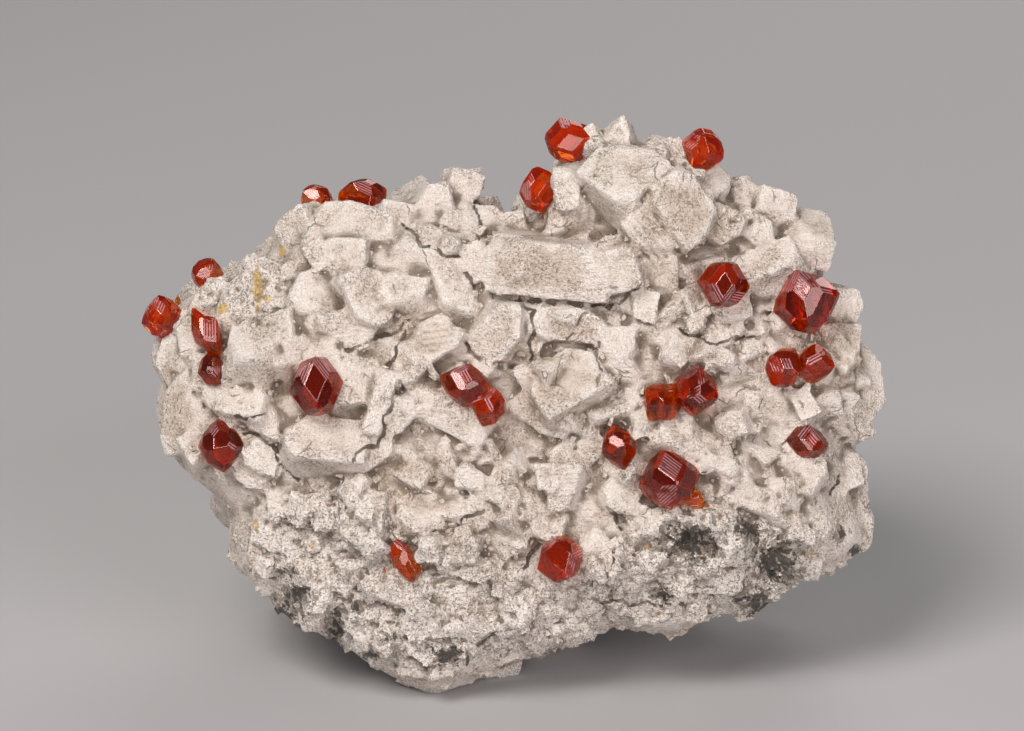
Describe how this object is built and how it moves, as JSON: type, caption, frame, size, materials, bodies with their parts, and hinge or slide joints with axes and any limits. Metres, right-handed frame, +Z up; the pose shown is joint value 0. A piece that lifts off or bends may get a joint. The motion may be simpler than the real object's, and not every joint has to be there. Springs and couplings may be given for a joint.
{
  "type": "spessartine garnet on matrix",
  "caption": "Hand specimen of deep red-orange spessartine garnet crystals scattered over a rough lump of blocky white feldspar, standing on its broken underside.",
  "frame": {"origin": "middle of the bounding box in plan, on the surface that the specimen stands on", "axes": "+Z up, +X to the right as the display face is seen, which looks towards -Y and leans back by 18 degrees"},
  "size_m": [0.0927, 0.0572, 0.0707],
  "materials": {
    "feldspar": "chalky, rough, pitted",
    "spessartine": "glassy natural crystal faces"
  },
  "bodies": {
    "root": {"garnet_bottom": "spessartine", "garnet_centre_pair": "spessartine", "garnet_crest_left": "spessartine", "garnet_crest_small": "spessartine", "garnet_far_left": "spessartine", "garnet_large_lower": "spessartine", "garnet_large_right": "spessartine", "garnet_left_centre": "spessartine", "garnet_left_pair": "spessartine", "garnet_left_shoulder": "spessartine", "garnet_lower_left": "spessartine", "garnet_lower_right": "spessartine", "garnet_middle": "spessartine", "garnet_notch": "spessartine", "garnet_peak_left": "spessartine", "garnet_peak_right": "spessartine", "garnet_right_pair": "spessartine", "garnet_right_twins": "spessartine", "garnet_sliver": "spessartine", "garnet_upper_right": "spessartine", "matrix": "feldspar"}
  },
  "joints": []
}
